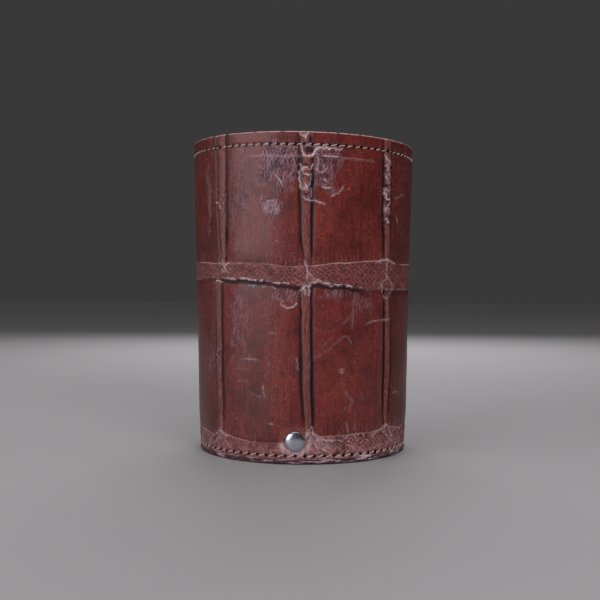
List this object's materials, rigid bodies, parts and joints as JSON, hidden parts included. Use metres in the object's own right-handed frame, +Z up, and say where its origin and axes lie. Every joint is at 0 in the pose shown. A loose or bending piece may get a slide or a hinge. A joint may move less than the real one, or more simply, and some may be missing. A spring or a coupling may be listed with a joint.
{
  "type": "dice cup",
  "caption": "Tapered leather dice cup with an embossed tile pattern, sewn rim, foot and back seam, a recessed base and a domed rivet near the foot",
  "frame": {"origin": "centre of the ring that the cup stands on", "axes": "+Z points up out of the mouth, -Y points at the rivet, which is the front, and +Y at the back seam"},
  "size_m": [0.0836, 0.0836, 0.114],
  "materials": {
    "wrap_leather": "glossy",
    "core_leather": "matte",
    "lining_leather": "suede",
    "pan_leather": "satin",
    "fibre_board": "matte",
    "pad_suede": "suede",
    "thread": "waxed",
    "rivet_nickel": "polished"
  },
  "bodies": {
    "root": {"outer_wrap": "wrap_leather", "wall_core": "core_leather", "wall_lining": "lining_leather", "base_pan": "pan_leather", "base_board": "fibre_board", "floor_pad": "pad_suede", "rim_stitches_outside": "thread", "rim_stitches_inside": "thread", "foot_stitches_outside": "thread", "foot_stitches_inside": "thread", "seam_stitches_outside": "thread", "seam_stitches_inside": "thread", "rivet_cap": "rivet_nickel", "rivet_post": "rivet_nickel", "rivet_socket": "rivet_nickel", "rivet_back_cap": "rivet_nickel"}
  },
  "joints": []
}
